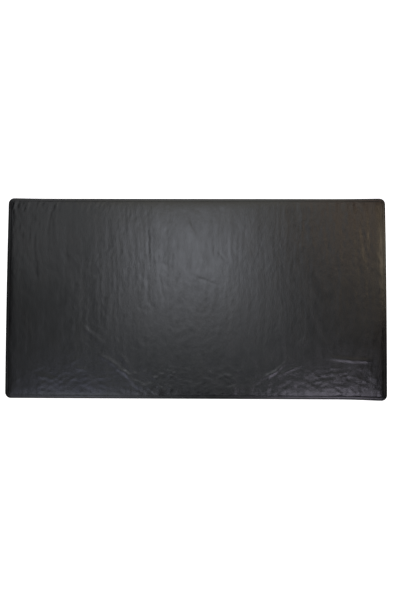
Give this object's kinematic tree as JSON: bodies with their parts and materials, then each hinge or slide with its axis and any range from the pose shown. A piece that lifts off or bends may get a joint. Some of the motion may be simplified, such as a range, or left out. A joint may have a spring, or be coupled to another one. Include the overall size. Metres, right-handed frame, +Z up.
{
  "type": "desk mat",
  "caption": "Flat rectangular padded leather desk mat with rounded corners, a rolled and sewn edge and a suede-like backing; protects a desk top and gives a soft writing and mouse surface.",
  "frame": {"origin": "middle of the underside, where the backing rests on the desk", "axes": "+X along the long side, +Y across the mat away from the person at the desk, +Z up through the leather"},
  "size_m": [0.855, 0.45, 0.005],
  "materials": {
    "leather": "satin",
    "adhesive": "satin",
    "foam": "matte",
    "fibre_board": "matte",
    "grey_board": "matte",
    "microsuede": "matte",
    "thread": "satin"
  },
  "bodies": {
    "root": {"leather_cover": "leather", "leather_adhesive": "adhesive", "foam_padding": "foam", "foam_adhesive": "adhesive", "core_board": "fibre_board", "core_adhesive": "adhesive", "filler_sheet": "grey_board", "backing_adhesive": "adhesive", "backing_sheet": "microsuede", "needle_thread": "thread", "bobbin_thread": "thread"}
  },
  "joints": []
}
